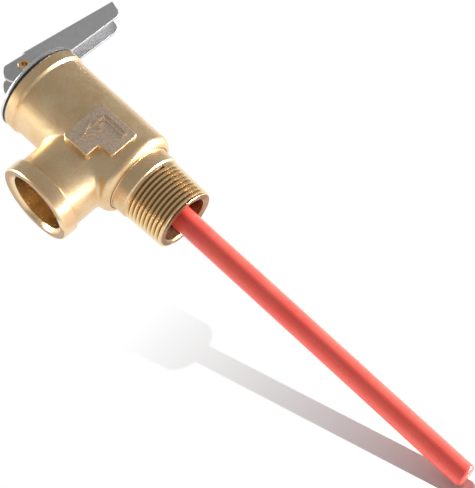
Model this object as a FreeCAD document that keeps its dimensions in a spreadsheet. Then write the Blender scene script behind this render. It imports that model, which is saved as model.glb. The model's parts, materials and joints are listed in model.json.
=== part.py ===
"""Temperature and pressure relief valve, 3/4 inch taper pipe thread, with a test lever and a long probe.

Millimetres. +Z runs from the male inlet thread up to the lever, +X out of the outlet port, and +Y
out of the flow plate. The origin is on the inlet axis, at the large end of the male thread.
"""
import FreeCAD, Part
import math
import os
import re
import Sketcher

SIZES = {
    # male inlet thread, 3/4-14 taper pipe thread
    "pipe_radius": (13.335, "outside radius of the pipe thread at its large end"),
    "thread_pitch": (1.814, "14 threads to the inch"),
    "thread_slope": (0.03125, "taper of the radius, 1 in 32"),
    "thread_depth": (1.1, "depth of the cut thread"),
    "thread_flat": (0.22, "width of the thread's root"),
    "thread_crest": (0.45, "width left between two grooves at the cutter's mouth"),
    "thread_relief": (0.15, "how far the thread cutter reaches past the crest"),
    "thread_end": (0.6, "where the taper meets the cylindrical land, below the origin"),
    "inlet_length": (17.5, "from the origin down to the inlet face"),
    "inlet_bore": (9.65, "radius of the water way in the inlet"),
    "edge_break": (0.5, "chamfer on machined ends"),
    # barrel
    "land_top": (0.6, "upper end of the plain land above the thread"),
    "neck_radius": (13.85, "cast neck between the land and the barrel"),
    "shoulder_height": (6.7, "end of the neck, where the barrel starts"),
    "shoulder_round": (3.2, "round on the barrel's lower end"),
    "neck_round": (0.3, "fillet between neck and barrel"),
    "barrel_radius": (17.4, "outside of the barrel"),
    "rim_proud": (0.8, "how far the rim band stands out of the barrel"),
    "rim_height": (4.0, "height of the rim band"),
    "rim_step": (1.0, "height of the slope from barrel to rim"),
    "body_height": (59.6, "from the origin to the rim's top face"),
    "spider_ledge": (1.65, "width of the ledge that the spider seats on"),
    "seat_height": (13.2, "top of the seat lip"),
    "seat_lip": (1.2, "width of the seat lip"),
    "seat_relief": (1.4, "height of the seat lip over the chamber floor"),
    "barrel_wall": (3.5, "wall of the barrel round the spring chamber"),
    "rim_wall": (2.6, "wall of the barrel round its top thread"),
    "top_thread_depth": (13.6, "depth of that thread"),
    # outlet
    "outlet_height": (25.1, "height of the outlet axis"),
    "outlet_reach": (35.0, "from the inlet axis to the outlet face"),
    "boss_radius": (15.3, "outside of the outlet boss"),
    "boss_round": (1.2, "fillet between boss and barrel"),
    "collar_radius": (16.3, "outside of the outlet collar"),
    "collar_length": (6.55, "length of the outlet collar"),
    "rim_break": (0.3, "round of the rim's top edge"),
    "passage_radius": (9.0, "water way from chamber to outlet"),
    "tap_radius": (11.7, "plain bore behind the outlet thread"),
    "tap_depth": (18.5, "depth of that bore from the outlet face"),
    "port_thread": (13.0, "length of the outlet thread"),
    "port_mouth": (13.5, "radius of the outlet thread's countersink at the face"),
    # flow plate and arrow
    "plate_proud": (0.8, "how far the plate stands out of the barrel"),
    "plate_left": (-5.3, "plate's edge away from the outlet"),
    "plate_width": (19.3, "plate's width"),
    "plate_bottom": (12.9, "plate's lower edge"),
    "plate_tall": (18.8, "plate's height"),
    "plate_notch": (6.6, "side of the square notch in its lower corner"),
    "plate_corner": (1.2, "round of its corners"),
    "plate_edge": (0.5, "round of its face's edge"),
    "arrow_ridge": (0.45, "width of the raised line that draws the arrow"),
    "arrow_relief": (0.3, "height of that line"),
    "arrow_foot": (-9.0, "arrow's start, from the outlet axis"),
    "arrow_left": (-3.1, "arrow's upright, outer edge"),
    "arrow_shaft": (2.2, "width of the arrow's shaft"),
    "arrow_top": (2.1, "upper edge of the arrow's level shaft, from the outlet axis"),
    "arrow_neck": (2.5, "where the head starts"),
    "arrow_barb": (1.75, "how far the head is wider than the shaft on each side"),
    "arrow_tip": (10.2, "arrow's tip"),
    # cap, plug and gasket
    "gasket_height": (0.8, "gasket thickness"),
    "gasket_inset": (0.1, "how far the gasket lies inside the rim"),
    "cap_overhang": (0.2, "how far the cap stands out of the rim"),
    "cap_height": (1.3, "cap plate thickness"),
    "cap_skirt": (5.0, "depth of the cap's threaded skirt below the rim"),
    "cap_wall": (2.0, "wall of the skirt"),
    "cap_clearance": (0.5, "radial gap between the stem and the cap's hole"),
    "plug_height": (6.0, "adjusting plug"),
    "plug_gap": (1.6, "gap between plug and skirt"),
    "spanner_radius": (1.6, "spanner holes in the plug"),
    "spanner_circle": (9.5, "radius of the circle that they lie on"),
    "thread_fit": (0.05, "clearance of the top thread"),
    "seal_section": (0.9, "section radius of the stem seal"),
    # stem, lever and pin
    "stem_radius": (3.0, "stem"),
    "running_fit": (0.05, "radial clearance of a running fit"),
    "stem_head_step": (0.6, "how far the stem's head stands out"),
    "stem_head_low": (2.2, "from the cap's top to the stem's head"),
    "stem_head_top": (3.3, "from the pin's axis to the top of the stem"),
    "stem_foot_step": (0.9, "how far the stem's foot stands out"),
    "foot_height": (1.6, "height of the stem's foot"),
    "foot_point": (1.0, "height of the point under the foot"),
    "head_taper": (0.6, "height of the cone from the stem to its head"),
    "head_break": (0.8, "chamfer on top of the stem's head"),
    "foot_tip": (1.2, "radius of the point under the foot"),
    "foot_cone": (0.6, "how far the cone under the foot stays inside the stem"),
    "pin_height": (6.95, "pin axis above the cap"),
    "pin_radius": (1.9, "rivet"),
    "pin_bore": (1.05, "hole through the rivet"),
    "pin_head": (2.45, "radius of the rivet's heads"),
    "pin_head_height": (0.7, "height of the rivet's heads"),
    "lever_turn": (5.0, "turn of the lever from the line opposite the outlet, degrees"),
    "lever_width": (11.2, "outside width of the channel"),
    "lever_sheet": (1.2, "sheet thickness"),
    "lever_bend": (1.1, "outside radius of the fold"),
    "lever_step": (1.2, "how far the flanges stay below the web's top behind the web"),
    "lever_reach": (45.4, "from the pin to the free end"),
    "lever_rise": (5.3, "web's top above the pin's axis, at the pin"),
    "lever_slope": (0.115, "fall of the web towards the free end"),
    "lever_web_start": (3.5, "where the web starts, from the pin"),
    "lever_corner": (3.2, "round of the lower front corner"),
    "lever_clearance": (0.25, "gap between lever and cap"),
    "lever_notch": (2.75, "radius of the notch in front of the heel"),
    "lever_notch_place": (5.6, "notch, from the pin"),
    "lever_notch_top": (1.0, "top of the notch, below the pin's axis"),
    "lever_swing": (80.0, "full travel of the lever, degrees"),
    "heel_overrun": (5.0, "how far the cam goes on past the full travel, degrees"),
    "lever_web_overlap": (2.3, "how far the flanges stay high behind the web"),
    "heel_shoulder": (8.2, "middle of the round on the heel's back, from the pin"),
    "heel_drop": (2.0, "how far that point lies below the flanges' top"),
    "lever_chin": (1.4, "how far the corner's round stays behind the free end"),
    "lever_lean": (1.0, "lean of the free end"),
    "lever_lift": (2.2, "lift of the stem over that travel"),
    # disc and holder
    "seat_gap": (0.1, "gap drawn between the disc and the seat"),
    "disc_margin": (0.4, "how far the disc reaches past the seat lip"),
    "disc_height": (3.0, "seat disc thickness"),
    "holder_wall": (1.6, "wall of the holder round the disc"),
    "holder_lip": (1.0, "how far the holder stays above the disc's face"),
    "holder_floor": (3.8, "holder's floor above the disc"),
    "hub_wall": (1.0, "wall of the hub round the clip's groove"),
    "holder_neck_height": (7.0, "height of the hub"),
    "wing_gap": (0.3, "clearance of the guide wings in the chamber"),
    "wing_width": (3.0, "width of a guide wing"),
    "wing_height": (5.0, "height of a guide wing"),
    "wing_root": (0.5, "how far a wing starts inside the holder"),
    "socket_gap": (0.2, "play of the stem's foot in its socket"),
    "clip_height": (0.8, "thickness of the stem clip"),
    "clip_bite": (0.5, "how far the clip sits in the hub"),
    "clip_gap": (0.3, "gap between the clip and the stem"),
    "washer_gap": (1.5, "radial gap between the disc washer and the throat"),
    "washer_height": (1.2, "disc washer thickness"),
    "screw_radius": (2.0, "disc screw"),
    "screw_head": (3.2, "radius of its head"),
    "screw_head_height": (1.8, "height of its head"),
    "screw_grip": (4.2, "how far the screw enters the holder"),
    "screw_edge": (0.6, "round of the screw head's edge"),
    "socket_web": (0.8, "metal between the screw's hole and the socket"),
    "slot_width": (0.8, "screwdriver slot"),
    # spring
    "spring_wire": (1.3, "radius of the spring wire"),
    "spring_radius": (8.5, "mean radius of the spring"),
    "spring_turns": (5.5, "turns"),
    "spring_seat_radius": (11.0, "upper spring seat"),
    "spring_seat_height": (1.8, "upper spring seat thickness"),
    # thermostat
    "probe_end": (155.0, "from the origin down to the probe's tip"),
    "probe_radius": (4.6, "outside of the coated probe"),
    "probe_round": (1.3, "round of the probe's tip"),
    "coating_wall": (0.45, "coating thickness"),
    "tube_wall": (0.5, "tube wall"),
    "coating_top": (8.5, "from the origin down to the coating's upper end"),
    "head_wall": (0.6, "wall of the thermostat head over the probe's radius"),
    "head_skirt": (8.0, "from the origin down to the head's lower end"),
    "head_step": (1.0, "from the origin down to the step above the tube"),
    "flange_width": (0.8, "how far the flange reaches over the spider"),
    "flange_height": (1.2, "flange thickness"),
    "seal_height": (3.5, "rubber plug"),
    "piston_radius": (1.5, "push rod"),
    "piston_gap": (2.8, "free travel between the push rod and the disc screw"),
    "spider_stop": (3.5, "shoulder that the spider seats on"),
    "spider_height": (2.6, "spider thickness"),
    "spider_rim": (1.4, "width of the spider's rim"),
    "spider_leg": (1.8, "width of a spider leg"),
    "spider_hub_width": (1.2, "width of the spider's hub"),
    "leg_root": (0.3, "how far a spider leg starts inside the hub"),
    "piston_nose": (0.6, "chamfer on the push rod's upper end"),
    "slip": (0.1, "radial clearance of loose fits"),
    "ring_height": (1.0, "spider ring thickness"),
    "ring_bite": (0.6, "depth of the ring's groove"),
    "ring_width": (1.5, "radial width of the ring"),
    "ring_opening": (4.0, "gap in a spring ring"),
}

# Sizes that follow from others, so that what fits together stays together
DERIVED = {
    "rim_radius": "barrel_radius + rim_proud",
    "chamber_radius": "barrel_radius - barrel_wall",
    "top_thread_radius": "barrel_radius - rim_wall",
    "plate_face": "barrel_radius + plate_proud",
    "cap_radius": "rim_radius + cap_overhang",
    "throat_radius": "inlet_bore - spider_ledge",
    "cap_hole": "stem_radius + cap_clearance",
    "stem_head": "stem_radius + stem_head_step",
    "stem_foot": "stem_radius + stem_foot_step",
    "stem_socket": "stem_foot + socket_gap",
    "clip_groove": "stem_socket + clip_bite",
    "holder_neck": "clip_groove + hub_wall",
    "disc_radius": "throat_radius + seat_lip + disc_margin",
    "holder_radius": "disc_radius + holder_wall",
    "washer_radius": "throat_radius - washer_gap",
    "tube_radius": "probe_radius - coating_wall",
    "tube_bore": "tube_radius - tube_wall",
    "head_radius": "probe_radius + head_wall",
    "flange_radius": "head_radius + flange_width",
    "spider_hub": "head_radius + spider_hub_width",
    "ring_groove": "inlet_bore + ring_bite",
    "cap_top": "body_height + gasket_height + cap_height",
    "pin_axis": "cap_top + pin_height",
    "disc_face": "seat_height + seat_gap",
    "disc_top": "disc_face + disc_height",
    "spring_foot": "disc_top + holder_floor",
    "hub_top": "spring_foot + holder_neck_height",
    "plug_top": "body_height - cap_skirt - plug_gap",
    "plug_foot": "plug_top - plug_height",
    "spring_top": "plug_foot - spring_seat_height",
    "screw_face": "disc_face - washer_height - screw_head_height",
    "socket_floor": "disc_top + screw_grip + socket_web",
    "foot_low": "socket_floor + socket_gap + foot_point",
    "clip_low": "foot_low + foot_height + clip_gap",
    "spider_low": "spider_stop - spider_height",
    "ring_low": "spider_low - ring_height",
    "flange_top": "spider_stop + flange_height",
}

doc = FreeCAD.newDocument("relief_valve")
sheet = doc.addObject("Spreadsheet::Sheet", "Sizes")
for row, (alias, (number, meaning)) in enumerate(SIZES.items(), start=1):
    sheet.set(f"A{row}", alias)
    sheet.set(f"B{row}", str(number))
    sheet.set(f"C{row}", meaning)
    sheet.setAlias(f"B{row}", alias)
doc.recompute()


def formula(text):
    """The text with the sizes' names as an expression needs them, and the derived names spelt out."""
    def cell(word):
        name = word.group()
        if name in DERIVED:
            return f"({formula(DERIVED[name])})"
        return f"Sizes.{name}" if name in SIZES else name

    return re.sub(r"[a-z_]\w*", cell, text)


def value(text):
    """The number that a formula gives now."""
    number = sheet.evalExpression(formula(text))
    return float(getattr(number, "Value", number))


def bind(item, **settings):
    """Bind properties of an object to formulas of the sheet's names."""
    for name, text in settings.items():
        item.setExpression(name.replace("__", "."), formula(text))
    return item


# Ways of making a piece

def new_body(name):
    body = doc.addObject("PartDesign::Body", name)
    body.Label = name
    return body


def origin_plane(body, role):
    return next(item for item in body.Origin.OriginFeatures if item.Role == role)


def new_sketch(body, name, plane, offset=None):
    sketch = body.newObject("Sketcher::SketchObject", name)
    sketch.AttachmentSupport = [(origin_plane(body, plane), "")]
    sketch.MapMode = "FlatFace"
    if offset:
        bind(sketch, AttachmentOffset__Base__z=offset)
    return sketch


def hold_point(sketch, line, end, across, up):
    """Hold a line's end at a place that two formulas give."""
    for kind, text in (("DistanceX", across), ("DistanceY", up)):
        index = sketch.addConstraint(Sketcher.Constraint(kind, -1, 1, line, end, value(text)))
        sketch.setExpression(f"Constraints[{index}]", formula(text))


def closed_lines(sketch, corners):
    """Straight lines from corner to corner and back; each corner is a pair of formulas."""
    places = [FreeCAD.Vector(value(across), value(up), 0) for across, up in corners]
    for here, there in zip(places, places[1:] + places[:1]):
        sketch.addGeometry(Part.LineSegment(here, there), False)
    for step, corner in enumerate(corners):
        sketch.addConstraint(Sketcher.Constraint("Coincident", step, 2, (step + 1) % len(corners), 1))
        hold_point(sketch, step, 1, *corner)


def outline(body, name, plane, corners, offset=None, axis=None):
    """A sketch with a closed outline, and with axis a construction line to turn it about."""
    sketch = new_sketch(body, name, plane, offset)
    closed_lines(sketch, corners)
    if axis:
        ends = [FreeCAD.Vector(value(across), value(up), 0) for across, up in axis]
        line = sketch.addGeometry(Part.LineSegment(*ends), True)
        hold_point(sketch, line, 1, *axis[0])
        hold_point(sketch, line, 2, *axis[1])
    return sketch


def turned(body, name, corners, kind="PartDesign::Revolution", axis=None):
    """A solid, or with kind Groove a cut, turned from an outline in the XZ plane."""
    sketch = outline(body, name + "_outline", "XZ_Plane", corners, axis=axis)
    feature = body.newObject(kind, name)
    feature.Profile = sketch
    feature.ReferenceAxis = (sketch, ["Axis0" if axis else "V_Axis"])
    feature.Angle = 360
    doc.recompute()
    return feature


def circle_sketch(body, name, plane, across, up, radius, offset=None):
    sketch = new_sketch(body, name, plane, offset)
    centre = FreeCAD.Vector(value(across), value(up), 0)
    circle = sketch.addGeometry(Part.Circle(centre, FreeCAD.Vector(0, 0, 1), value(radius)), False)
    for kind, text in (("DistanceX", across), ("DistanceY", up)):
        index = sketch.addConstraint(Sketcher.Constraint(kind, -1, 1, circle, 3, value(text)))
        sketch.setExpression(f"Constraints[{index}]", formula(text))
    index = sketch.addConstraint(Sketcher.Constraint("Radius", circle, value(radius)))
    sketch.setExpression(f"Constraints[{index}]", formula(radius))
    return sketch


def extruded(body, name, sketch, length, kind="PartDesign::Pad", reverse=False, middle=False):
    feature = body.newObject(kind, name)
    feature.Profile = sketch
    feature.Reversed = reverse
    if middle:
        feature.Midplane = True
    bind(feature, Length=length)
    doc.recompute()
    return feature


def edge_names(feature, test):
    return [f"Edge{number}" for number, edge in enumerate(feature.Shape.Edges, start=1) if test(edge)]


def eased(body, name, feature, test, size, kind="PartDesign::Fillet"):
    """A fillet or chamfer on the edges that the test picks."""
    names = edge_names(feature, test)
    if not names:
        raise ValueError(f"{name} found no edge")
    ease = body.newObject(kind, name)
    ease.Base = (feature, names)
    bind(ease, **{"Size" if kind.endswith("Chamfer") else "Radius": size})
    doc.recompute()
    return ease


def is_ring(edge, radius, height, axis=2):
    """True for a circle of this radius about an axis along Z, or along X with axis=0, at this height."""
    curve = edge.Curve
    return (isinstance(curve, Part.Circle) and abs(curve.Radius - radius) < 1e-4
            and abs(curve.Center[axis] - height) < 1e-4)


def spun_copies(body, name, features, count):
    pattern = body.newObject("PartDesign::PolarPattern", name)
    pattern.Originals = features
    pattern.Axis = (origin_plane(body, "Z_Axis"), [""])
    pattern.Angle = 360
    pattern.Occurrences = count
    body.Tip = pattern
    doc.recompute()
    return pattern


def cylinder(name, radius, height):
    return bind(doc.addObject("Part::Cylinder", name), Radius=radius, Height=height)


def washer(name, outer, inner, height, base):
    """A flat ring that starts at height base."""
    ring = doc.addObject("Part::Cut", name)
    ring.Base = cylinder(name + "_blank", outer, height)
    ring.Tool = cylinder(name + "_hole", inner, height)
    ring.Label = name
    return bind(ring, Placement__Base__z=base)


def spring_ring(name, outer, inner, height, base):
    """A washer with a gap, so that it can be sprung into a groove."""
    blank = washer(name + "_closed", outer, inner, height, "0")
    gap = bind(doc.addObject("Part::Box", name + "_gap"), Length=outer, Width="ring_opening", Height=height)
    bind(gap, Placement__Base__y="0 - ring_opening / 2")
    ring = doc.addObject("Part::Cut", name)
    ring.Base = blank
    ring.Tool = gap
    ring.Label = name
    return bind(ring, Placement__Base__z=base)


# Valve body

def body_blank(body):
    """Thread blank, neck, barrel and rim, turned about the inlet axis."""
    small_end = "pipe_radius - (inlet_length - thread_end) * thread_slope"
    rim_low = "body_height - rim_height"
    blank = turned(body, "barrel", [
        ("0", "0 - inlet_length"),
        (f"{small_end} - edge_break", "0 - inlet_length"),
        (f"{small_end} + edge_break * thread_slope", "edge_break - inlet_length"),
        ("pipe_radius", "0 - thread_end"),
        ("pipe_radius", "land_top"),
        ("neck_radius", "land_top + neck_radius - pipe_radius"),
        ("neck_radius", "shoulder_height"),
        ("barrel_radius", "shoulder_height"),
        ("barrel_radius", f"{rim_low} - rim_step"),
        ("rim_radius", rim_low),
        ("rim_radius", "body_height"),
        ("0", "body_height"),
    ])
    shoulder = value("shoulder_height")
    lower = eased(body, "barrel_end", blank,
                  lambda edge: is_ring(edge, value("barrel_radius"), shoulder), "shoulder_round")
    neck = eased(body, "neck_fillet", lower,
                 lambda edge: is_ring(edge, value("neck_radius"), shoulder), "neck_round")
    return eased(body, "rim_edge", neck,
                 lambda edge: is_ring(edge, value("rim_radius"), value("body_height")), "rim_break")


def outlet_boss(body):
    boss = extruded(body, "boss", circle_sketch(body, "boss_circle", "YZ_Plane", "0", "outlet_height",
                                                "boss_radius"), "outlet_reach")
    eased(body, "boss_fillet", boss,
          lambda edge: not isinstance(edge.Curve, (Part.Circle, Part.Line)) and edge.BoundBox.XMin > 1,
          "boss_round")
    step = circle_sketch(body, "collar_circle", "YZ_Plane", "0", "outlet_height", "collar_radius",
                         offset="outlet_reach - collar_length")
    collar = extruded(body, "collar", step, "collar_length")
    reach, length, radius = value("outlet_reach"), value("collar_length"), value("collar_radius")
    return eased(body, "collar_edges", collar,
                 lambda edge: is_ring(edge, radius, reach, 0) or is_ring(edge, radius, reach - length, 0),
                 "edge_break", kind="PartDesign::Chamfer")


def flow_plate(body):
    right = "plate_left + plate_width"
    top = "plate_bottom + plate_tall"
    sketch = outline(body, "plate_outline", "XZ_Plane", [
        ("plate_left", "plate_bottom"),
        (f"{right} - plate_notch", "plate_bottom"),
        (f"{right} - plate_notch", "plate_bottom + plate_notch"),
        (right, "plate_bottom + plate_notch"),
        (right, top),
        ("plate_left", top),
    ])
    plate = extruded(body, "plate", sketch, "plate_face", reverse=True)
    face = value("plate_face")

    def corner(edge):
        box = edge.BoundBox
        return (isinstance(edge.Curve, Part.Line) and abs(box.YMax - face) < 1e-4 and box.YLength > 0.5
                and box.XLength + box.ZLength < 1e-4)

    rounded = eased(body, "plate_corners", plate, corner, "plate_corner")

    def face_edge(edge):
        box = edge.BoundBox
        return abs(box.YMax - face) < 1e-4 and box.YLength < 1e-4

    return eased(body, "plate_edges", rounded, face_edge, "plate_edge")


def arrow_corners():
    """The bent arrow: up from the inlet, then out to the outlet. Places from the outlet axis."""
    left, top, shaft = value("arrow_left"), value("arrow_top"), value("arrow_shaft")
    foot, neck, barb, tip = value("arrow_foot"), value("arrow_neck"), value("arrow_barb"), value("arrow_tip")
    return [(left, foot), (left + shaft, foot), (left + shaft, top - shaft), (neck, top - shaft),
            (neck, top - shaft - barb), (tip, top - shaft / 2), (neck, top + barb), (neck, top), (left, top)]


def flow_arrow(body):
    """A thin raised line that draws the arrow on the plate."""
    height = value("outlet_height")
    points = [FreeCAD.Vector(across, 0, height + up) for across, up in arrow_corners()]
    drawn = Part.makePolygon(points + points[:1])
    inner = drawn.makeOffset2D(-value("arrow_ridge"), join=2)
    sketch = new_sketch(body, "arrow_outline", "XZ_Plane", offset="0 - plate_face")
    for wire in (drawn, inner):
        for edge in wire.Edges:
            ends = [FreeCAD.Vector(end.Point.x, end.Point.z, 0) for end in edge.Vertexes]
            sketch.addGeometry(Part.LineSegment(*ends), False)
    extruded(body, "arrow", sketch, "arrow_relief", reverse=True)


def water_way(body):
    """Inlet bore, spider shoulder, throat, seat lip, spring chamber and top thread bore."""
    turned(body, "bores", [
        ("0", "0 - inlet_length"),
        ("inlet_bore + edge_break", "0 - inlet_length"),
        ("inlet_bore", "edge_break - inlet_length"),
        ("inlet_bore", "ring_low"),
        ("ring_groove", "ring_low"),
        ("ring_groove", "spider_low"),
        ("inlet_bore", "spider_low"),
        ("inlet_bore", "spider_stop"),
        ("throat_radius", "spider_stop"),
        ("throat_radius", "seat_height"),
        ("throat_radius + seat_lip", "seat_height"),
        ("throat_radius + seat_lip", "seat_height - seat_relief"),
        ("chamber_radius", "seat_height - seat_relief"),
        ("chamber_radius", "body_height - top_thread_depth"),
        ("top_thread_radius", "body_height - top_thread_depth"),
        ("top_thread_radius", "body_height"),
        ("0", "body_height"),
    ], kind="PartDesign::Groove")


def outlet_way(body):
    """Passage, plain tap bore, and the tapered thread blank with its countersink."""
    for name, radius, depth in (("passage", "passage_radius", "outlet_reach"),
                                ("tap_bore", "tap_radius", "tap_depth")):
        sketch = circle_sketch(body, name + "_circle", "YZ_Plane", "0", "outlet_height", radius,
                               offset="outlet_reach")
        extruded(body, name, sketch, depth, kind="PartDesign::Pocket")
    mouth = "tap_radius + port_thread * thread_slope"
    return turned(body, "port", [
        ("outlet_reach - port_thread", "outlet_height"),
        ("outlet_reach - port_thread", "outlet_height + tap_radius"),
        (f"outlet_reach - (port_mouth - ({mouth}))", f"outlet_height + {mouth}"),
        ("outlet_reach", "outlet_height + port_mouth"),
        ("outlet_reach", "outlet_height"),
    ], kind="PartDesign::Groove", axis=[("0", "outlet_height"), ("outlet_reach", "outlet_height")])


def thread_cutter(name, crest, side, length):
    """A V-shaped bar on a tapered right-hand helix about Z; side is 1 for outside threads, else -1."""
    helix = bind(doc.addObject("Part::Helix", name + "_path"), Pitch="thread_pitch", Height=length,
                 Radius=crest, Angle="atan(thread_slope)")
    section = doc.addObject("Sketcher::SketchObject", name + "_section")
    section.Placement.Rotation = FreeCAD.Rotation(FreeCAD.Vector(1, 0, 0), 90)
    half = "(thread_pitch - thread_crest) / 2"
    root = f"{crest} - {side} * thread_depth"
    mouth = f"{crest} + {side} * thread_relief"
    closed_lines(section, [(root, "0 - thread_flat / 2"), (mouth, f"0 - {half}"),
                           (mouth, half), (root, "thread_flat / 2")])
    cutter = doc.addObject("Part::Sweep", name)
    cutter.Sections = [section]
    cutter.Spine = (helix, [])
    cutter.Solid = True
    cutter.Frenet = True
    return cutter


def cut_from(name, base, tool):
    cut = doc.addObject("Part::Cut", name)
    cut.Base = base
    cut.Tool = tool
    cut.Refine = False
    return cut


def make_valve_body():
    """The casting with its bores, less the helical grooves of the two pipe threads."""
    body = new_body("body_casting")
    body_blank(body)
    outlet_boss(body)
    flow_plate(body)
    flow_arrow(body)
    water_way(body)
    outlet_way(body)
    small_end = "pipe_radius - (inlet_length + thread_pitch - thread_end) * thread_slope"
    male = thread_cutter("inlet_groove", small_end, 1, "inlet_length + thread_pitch - thread_end")
    bind(male, Placement__Base__z="0 - inlet_length - thread_pitch")
    female = thread_cutter("outlet_groove", "tap_radius", -1, "port_thread + thread_pitch")
    female.Placement.Rotation = FreeCAD.Rotation(FreeCAD.Vector(0, 1, 0), 90)
    bind(female, Placement__Base__x="outlet_reach - port_thread", Placement__Base__z="outlet_height")
    threaded = cut_from("body_with_inlet_thread", body, male)
    finished = cut_from("valve_body", threaded, female)
    finished.Label = "valve_body"
    return finished


# Cap, gasket and adjusting plug

def make_cap_plate():
    """Pressed steel cap: a disc on the gasket, with a threaded skirt in the barrel's top."""
    body = new_body("cap_plate")
    skirt = "top_thread_radius - thread_fit"
    low = "0 - gasket_height - cap_skirt"
    plate = turned(body, "plate", [
        ("cap_hole", "0"),
        (f"{skirt} - cap_wall", "0"),
        (f"{skirt} - cap_wall", low),
        (skirt, low),
        (skirt, "0"),
        ("cap_radius", "0"),
        ("cap_radius", "cap_height"),
        ("cap_hole", "cap_height"),
    ])
    eased(body, "rounded_edge", plate,
          lambda edge: is_ring(edge, value("cap_radius"), value("cap_height")), "cap_height * 0.5")
    return bind(body, Placement__Base__z="body_height + gasket_height")


def make_adjusting_plug():
    """Plug that sets the spring load and guides the stem, with a groove for the stem seal."""
    body = new_body("adjusting_plug")
    bore = "stem_radius + running_fit"
    middle = "plug_height / 2"
    plug = turned(body, "plug", [
        (bore, "0"),
        ("top_thread_radius - thread_fit", "0"),
        ("top_thread_radius - thread_fit", "plug_height"),
        (bore, "plug_height"),
        (bore, f"{middle} + seal_section"),
        (f"{bore} + seal_section * 2", f"{middle} + seal_section"),
        (f"{bore} + seal_section * 2", f"{middle} - seal_section"),
        (bore, f"{middle} - seal_section"),
    ])
    hole = extruded(body, "spanner_hole", circle_sketch(body, "spanner_circle", "XY_Plane", "spanner_circle",
                                                        "0", "spanner_radius", offset="plug_height"),
                    "plug_height / 2", kind="PartDesign::Pocket")
    spun_copies(body, "spanner_holes", [hole], 2)
    return bind(body, Placement__Base__z="plug_foot")


def make_stem_seal():
    seal = doc.addObject("Part::Torus", "stem_seal")
    bind(seal, Radius1="stem_radius + running_fit + seal_section", Radius2="seal_section")
    return bind(seal, Placement__Base__z="plug_foot + plug_height / 2")


# Stem, lever and pin

def make_stem():
    """Stem: a swivelling foot, a long shank and a cross-drilled head between the lever's flanges."""
    body = new_body("stem")
    head_low = "cap_top + stem_head_low"
    head_top = "pin_axis + stem_head_top"
    turned(body, "turned_stem", [
        ("0", "foot_low - foot_point"),
        ("foot_tip", "foot_low - foot_point"),
        ("stem_radius - foot_cone", "foot_low"),
        ("stem_foot", "foot_low"),
        ("stem_foot", "foot_low + foot_height"),
        ("stem_radius", "foot_low + foot_height"),
        ("stem_radius", f"{head_low} - head_taper"),
        ("stem_head", head_low),
        ("stem_head", f"{head_top} - head_break"),
        ("stem_head - head_break", head_top),
        ("0", head_top),
    ])
    sketch = circle_sketch(body, "pin_hole_circle", "XZ_Plane", "0", "pin_axis", "pin_radius + running_fit")
    extruded(body, "pin_hole", sketch, "stem_head * 3", kind="PartDesign::Pocket", middle=True)
    return bind(body, Placement__Rotation__Angle="lever_turn")


def lever_height(across):
    """Formula for the web's top line at a place along the lever, from the pin."""
    return f"lever_rise - ({across}) * lever_slope"


def heel_curve():
    """The heel's cam: an involute, so that the stem rises evenly with the lever's angle."""
    low = value("pin_height - lever_clearance")
    rise = value("lever_lift") / math.radians(value("lever_swing"))
    points = []
    steps = 8
    for step in range(steps + 1):
        angle = math.radians(value("lever_swing + heel_overrun")) * step / steps
        reach = low + rise * angle
        points.append(FreeCAD.Vector(-reach * math.sin(angle) - rise * math.cos(angle),
                                     -reach * math.cos(angle) + rise * math.sin(angle), 0))
    curve = Part.BSplineCurve()
    curve.interpolate(points)
    return curve, points[0], points[-1]


def flange_outline(body):
    """A flange's side view: across is along the lever from the pin, up is along Z."""
    sketch = new_sketch(body, "flange_outline", "XZ_Plane")
    cam, cam_low, cam_high = heel_curve()
    low = cam_low.y
    place = value("lever_notch_place")
    radius = value("lever_notch")
    crown = -value("lever_notch_top") - radius
    reach = value("lever_reach")
    corner = value("lever_corner")
    chin = reach - value("lever_chin") - corner
    web = value("lever_web_start")
    back = -web - value("lever_web_overlap")
    web_top = value(lever_height("lever_web_start"))
    step = value("lever_step")
    back_top = value(lever_height("0 - lever_web_start")) - step
    front_top = value(lever_height("lever_reach"))
    points = [
        cam_low, (place - radius, low), (place - radius, crown), (place, -value("lever_notch_top")),
        (place + radius, crown), (place + radius, low),
        (chin, low), (chin + corner * 0.75, low + corner * 0.25), (reach - value("lever_lean"), low + corner),
        (reach, front_top), (web, web_top), (web, web_top - step),
        (back, back_top), (-value("heel_shoulder"), back_top - value("heel_drop")), cam_high,
    ]
    spots = [FreeCAD.Vector(spot[0], spot[1], 0) for spot in points]
    line = Part.LineSegment
    for shape in (
        line(spots[0], spots[1]), line(spots[1], spots[2]), Part.Arc(spots[2], spots[3], spots[4]),
        line(spots[4], spots[5]), line(spots[5], spots[6]), Part.Arc(spots[6], spots[7], spots[8]),
        line(spots[8], spots[9]), line(spots[9], spots[10]), line(spots[10], spots[11]),
        line(spots[11], spots[12]), Part.Arc(spots[12], spots[13], spots[14]), cam,
    ):
        sketch.addGeometry(shape, False)
    return sketch


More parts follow.
